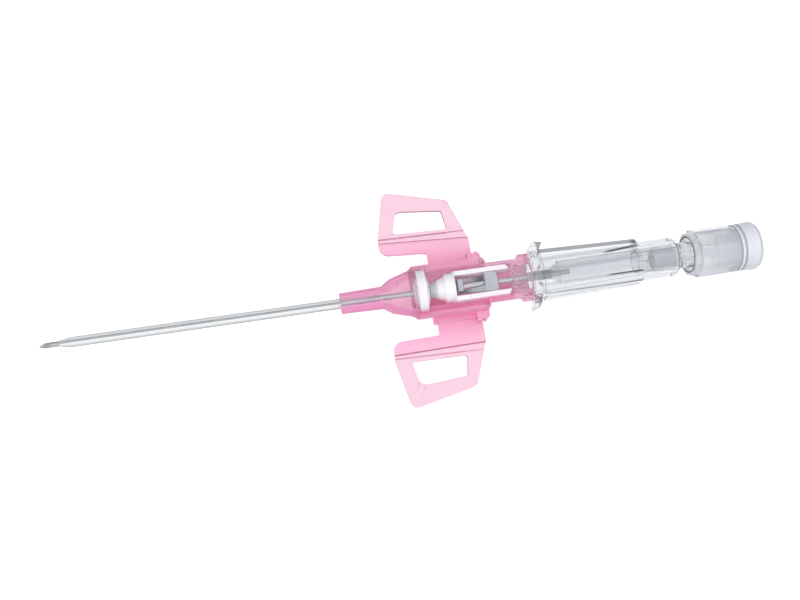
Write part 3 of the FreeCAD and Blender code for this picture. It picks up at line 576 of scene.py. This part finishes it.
# Wing folds
# The width of the painted crease-shade strips, and the front share of the outer strip that takes the softer
# shade.
CREASE_WIDTH = 0.2 * MM
DARK_SHARE = 0.78
WEB_RUNS, WEB_STEPS = 24, 10


def mesh_piece(name, points, faces, materials, slots=None):
    """A new mesh object in the scene, with one material slot per given material."""
    mesh = bpy.data.meshes.new(name)
    mesh.from_pydata(points, [], faces)
    for material in materials:
        mesh.materials.append(material)
    if slots is not None:
        for polygon, slot in zip(mesh.polygons, slots):
            polygon.material_index = slot
    mesh.update()
    piece = bpy.data.objects.new(name, mesh)
    bpy.context.scene.collection.objects.link(piece)
    return piece


def strip_corners(node):
    """The strip's corners as [front or rear][inner or outer][lower or upper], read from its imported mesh."""
    points = sorted({tuple(round(v, 7) for v in vertex.co) for vertex in nodes[node].data.vertices})
    ends = (points[:len(points) // 2], points[len(points) // 2:])
    corners = []
    for end in ends:
        ordered = sorted(end, key=lambda p: abs(p[1]))
        half = len(ordered) // 2
        corners.append([sorted(edge, key=lambda p: p[2]) for edge in (ordered[:half], ordered[half:])])
    return [[[Vector(edge[0]), Vector(edge[-1])] for edge in end] for end in corners]


def make_fold_web(side):
    """The thin web of a wing's fold, with narrow strips of painted crease shade along both its edges, in
    place of the plain strip.
    """
    node = "wing_fold_" + side
    corners = strip_corners(node)
    front_width = abs(corners[0][1][0].y - corners[0][0][0].y)
    rear_width = abs(corners[1][1][0].y - corners[1][0][0].y)
    across = WEB_STEPS + 5
    points, faces, slots = [], [], []
    for run in range(WEB_RUNS + 1):
        along = run / WEB_RUNS
        crease_share = CREASE_WIDTH / (front_width + (rear_width - front_width) * along)
        middle = [crease_share + (1 - 2 * crease_share) * step / WEB_STEPS for step in range(WEB_STEPS + 1)]
        shares = [0.0, crease_share / 2] + middle + [1 - crease_share / 2, 1.0]
        for level in (0, 1):
            for share in shares:
                front = corners[0][0][level].lerp(corners[0][1][level], share)
                rear = corners[1][0][level].lerp(corners[1][1][level], share)
                points.append(front.lerp(rear, along))
    ring = 2 * across
    for run in range(WEB_RUNS):
        here, there = run * ring, (run + 1) * ring
        for column in range(across - 1):
            faces.append((here + column, here + column + 1, there + column + 1, there + column))
            faces.append((here + across + column, there + across + column, there + across + column + 1,
                          here + across + column + 1))
            # Painted crease shade: a dark strip along the inner edge, and along the outer edge a softer one
            # over the front part of the length, then a faint one.
            slot = 0
            if column < 2:
                slot = 1
            elif column > across - 4:
                slot = 2 if run < DARK_SHARE * WEB_RUNS else 3
            slots += [slot, slot]
        for column in (0, across - 1):
            faces.append((here + column, there + column, there + across + column, here + across + column))
            slots.append(1 if column == 0 else 2)
    for run in (0, WEB_RUNS):
        for column in range(across - 1):
            low = run * ring + column
            faces.append((low, low + 1, low + across + 1, low + across))
            slots.append(0)
    web = mesh_piece("fold_web_" + side, points, faces, [pale, crease, crease_soft, crease_faint], slots)
    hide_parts(node)
    front, rear = corners[0][0][0], corners[1][0][0]
    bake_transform(web)


for side in ("left", "right"):
    make_fold_web(side)


# Stage
FLOOR_RADIUS, FLOOR_SIDES, FLOOR_DROP = 0.6, 96, 0.02 * MM
FLOOR_GREY, FLOOR_GLOW = 0.50, 0.78
SKY_LEAN, SKY_STRENGTH = -0.22, 0.92
SKY_LEVELS = [(0.0, 0.08), (0.22, 0.35), (0.50, 1.0), (1.0, 1.12)]


def make_floor():
    """A pale round floor under the object that lets its soft shadow show."""
    mesh = bpy.data.meshes.new("floor")
    turns = [2 * math.pi * i / FLOOR_SIDES for i in range(FLOOR_SIDES)]
    rim = [(FLOOR_RADIUS * math.cos(turn), FLOOR_RADIUS * math.sin(turn), 0.0) for turn in turns]
    faces = [(0, i + 1, (i + 1) % FLOOR_SIDES + 1) for i in range(FLOOR_SIDES)]
    mesh.from_pydata([(0.0, 0.0, 0.0)] + rim, [], faces)
    floor = bpy.data.objects.new("floor", mesh)
    floor.location = (0, 0, -FLOOR_DROP)
    bpy.context.scene.collection.objects.link(floor)
    tree = Nodes("floor")
    diffuse = tree.add("BsdfDiffuse", in_Color=(FLOOR_GREY, FLOOR_GREY, FLOOR_GREY, 1.0))
    glow = tree.add("Emission", in_Color=(1.0, 1.0, 1.0, 1.0), in_Strength=FLOOR_GLOW)
    path = tree.add("LightPath")
    any_ray = tree.add("Math", operation="MAXIMUM")
    tree.link(path.outputs["Is Camera Ray"], any_ray.inputs[0])
    tree.link(path.outputs["Is Glossy Ray"], any_ray.inputs[1])
    every = tree.add("Math", operation="MAXIMUM")
    tree.link(any_ray.outputs[0], every.inputs[0])
    tree.link(path.outputs["Is Transmission Ray"], every.inputs[1])
    nothing = tree.add("Emission", in_Color=(0.0, 0.0, 0.0, 1.0), in_Strength=0.0)
    choose = tree.add("MixShader")
    tree.link(every.outputs[0], choose.inputs[0])
    tree.link(nothing.outputs[0], choose.inputs[1])
    tree.link(glow.outputs[0], choose.inputs[2])
    total = tree.add("AddShader")
    tree.link(diffuse.outputs[0], total.inputs[0])
    tree.link(choose.outputs[0], total.inputs[1])
    tree.link(total.outputs[0], tree.out.inputs["Surface"])
    mesh.materials.append(tree.material)


def make_world():
    """A bright sky, greyer towards the horizon and darkest behind the object; the camera sees it white."""
    world = bpy.data.worlds.new("studio")
    bpy.context.scene.world = world
    world.use_nodes = True
    tree = world.node_tree
    tree.nodes.clear()
    out = tree.nodes.new("ShaderNodeOutputWorld")
    direction = tree.nodes.new("ShaderNodeTexCoord")
    split = tree.nodes.new("ShaderNodeSeparateXYZ")
    tree.links.new(direction.outputs["Generated"], split.inputs[0])
    lean = tree.nodes.new("ShaderNodeMath")
    lean.operation = "MULTIPLY_ADD"
    tree.links.new(split.outputs["Y"], lean.inputs[0])
    lean.inputs[1].default_value = SKY_LEAN
    tree.links.new(split.outputs["Z"], lean.inputs[2])
    height = tree.nodes.new("ShaderNodeValToRGB")
    tree.links.new(lean.outputs[0], height.inputs["Fac"])
    elements = height.color_ramp.elements
    while len(elements) < len(SKY_LEVELS):
        elements.new(0.5)
    for element, (position, level) in zip(elements, SKY_LEVELS):
        element.position = position
        element.color = (level, level, level, 1.0)
    sky = tree.nodes.new("ShaderNodeBackground")
    tree.links.new(height.outputs["Color"], sky.inputs["Color"])
    sky.inputs["Strength"].default_value = SKY_STRENGTH
    white_sky = tree.nodes.new("ShaderNodeBackground")
    white_sky.inputs["Color"].default_value = (1, 1, 1, 1)
    white_sky.inputs["Strength"].default_value = 1.0
    path = tree.nodes.new("ShaderNodeLightPath")
    mix = tree.nodes.new("ShaderNodeMixShader")
    tree.links.new(path.outputs["Is Camera Ray"], mix.inputs[0])
    tree.links.new(sky.outputs[0], mix.inputs[1])
    tree.links.new(white_sky.outputs[0], mix.inputs[2])
    tree.links.new(mix.outputs[0], out.inputs["Surface"])


def make_lamp(name, place, size, power):
    """A large square lamp turned towards the object."""
    data = bpy.data.lights.new(name, "AREA")
    data.shape = "SQUARE"
    data.size = size
    data.energy = power
    lamp = bpy.data.objects.new(name, data)
    lamp.location = place
    lamp.rotation_euler = (-Vector(place)).to_track_quat("-Z", "Y").to_euler()
    bpy.context.scene.collection.objects.link(lamp)


make_camera()
make_floor()
make_world()
make_lamp("key", (-0.20, -0.30, 0.55), 0.35, 0.85)
make_lamp("fill", (0.35, 0.20, 0.50), 0.40, 0.4)

bpy.context.scene.view_settings.view_transform = "Standard"
